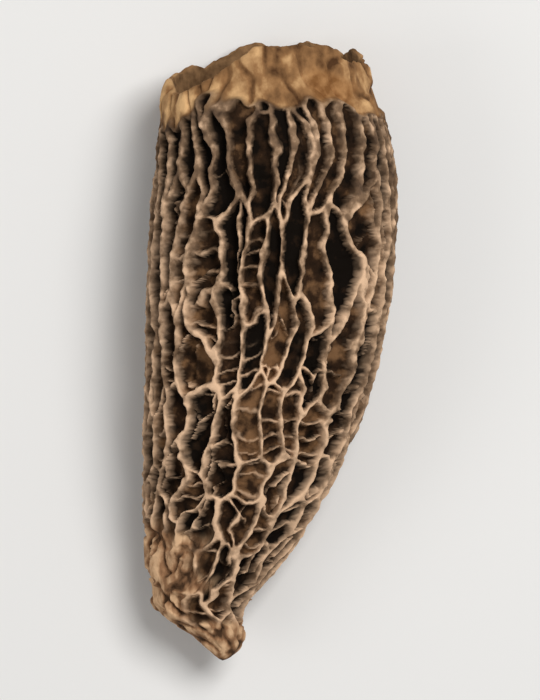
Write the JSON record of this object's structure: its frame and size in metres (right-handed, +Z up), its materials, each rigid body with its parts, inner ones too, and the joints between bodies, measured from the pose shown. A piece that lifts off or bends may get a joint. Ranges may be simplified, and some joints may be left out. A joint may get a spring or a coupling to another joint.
{
  "type": "dried morel mushroom",
  "caption": "Dried morel mushroom lying on its side: hollow ridged honeycomb cap tapering to a blunt tip, with a short torn collar of stem round the open end.",
  "frame": {"origin": "middle of the bounding box in X and Y, on the surface that the mushroom lies on", "axes": "+Y along the length towards the open stem end, +Z up from the surface it lies on, +X to the side that bulges"},
  "size_m": [0.0172, 0.0416, 0.014],
  "materials": {
    "dried_flesh": "matte"
  },
  "bodies": {
    "root": {"morel": "dried_flesh"}
  },
  "joints": []
}
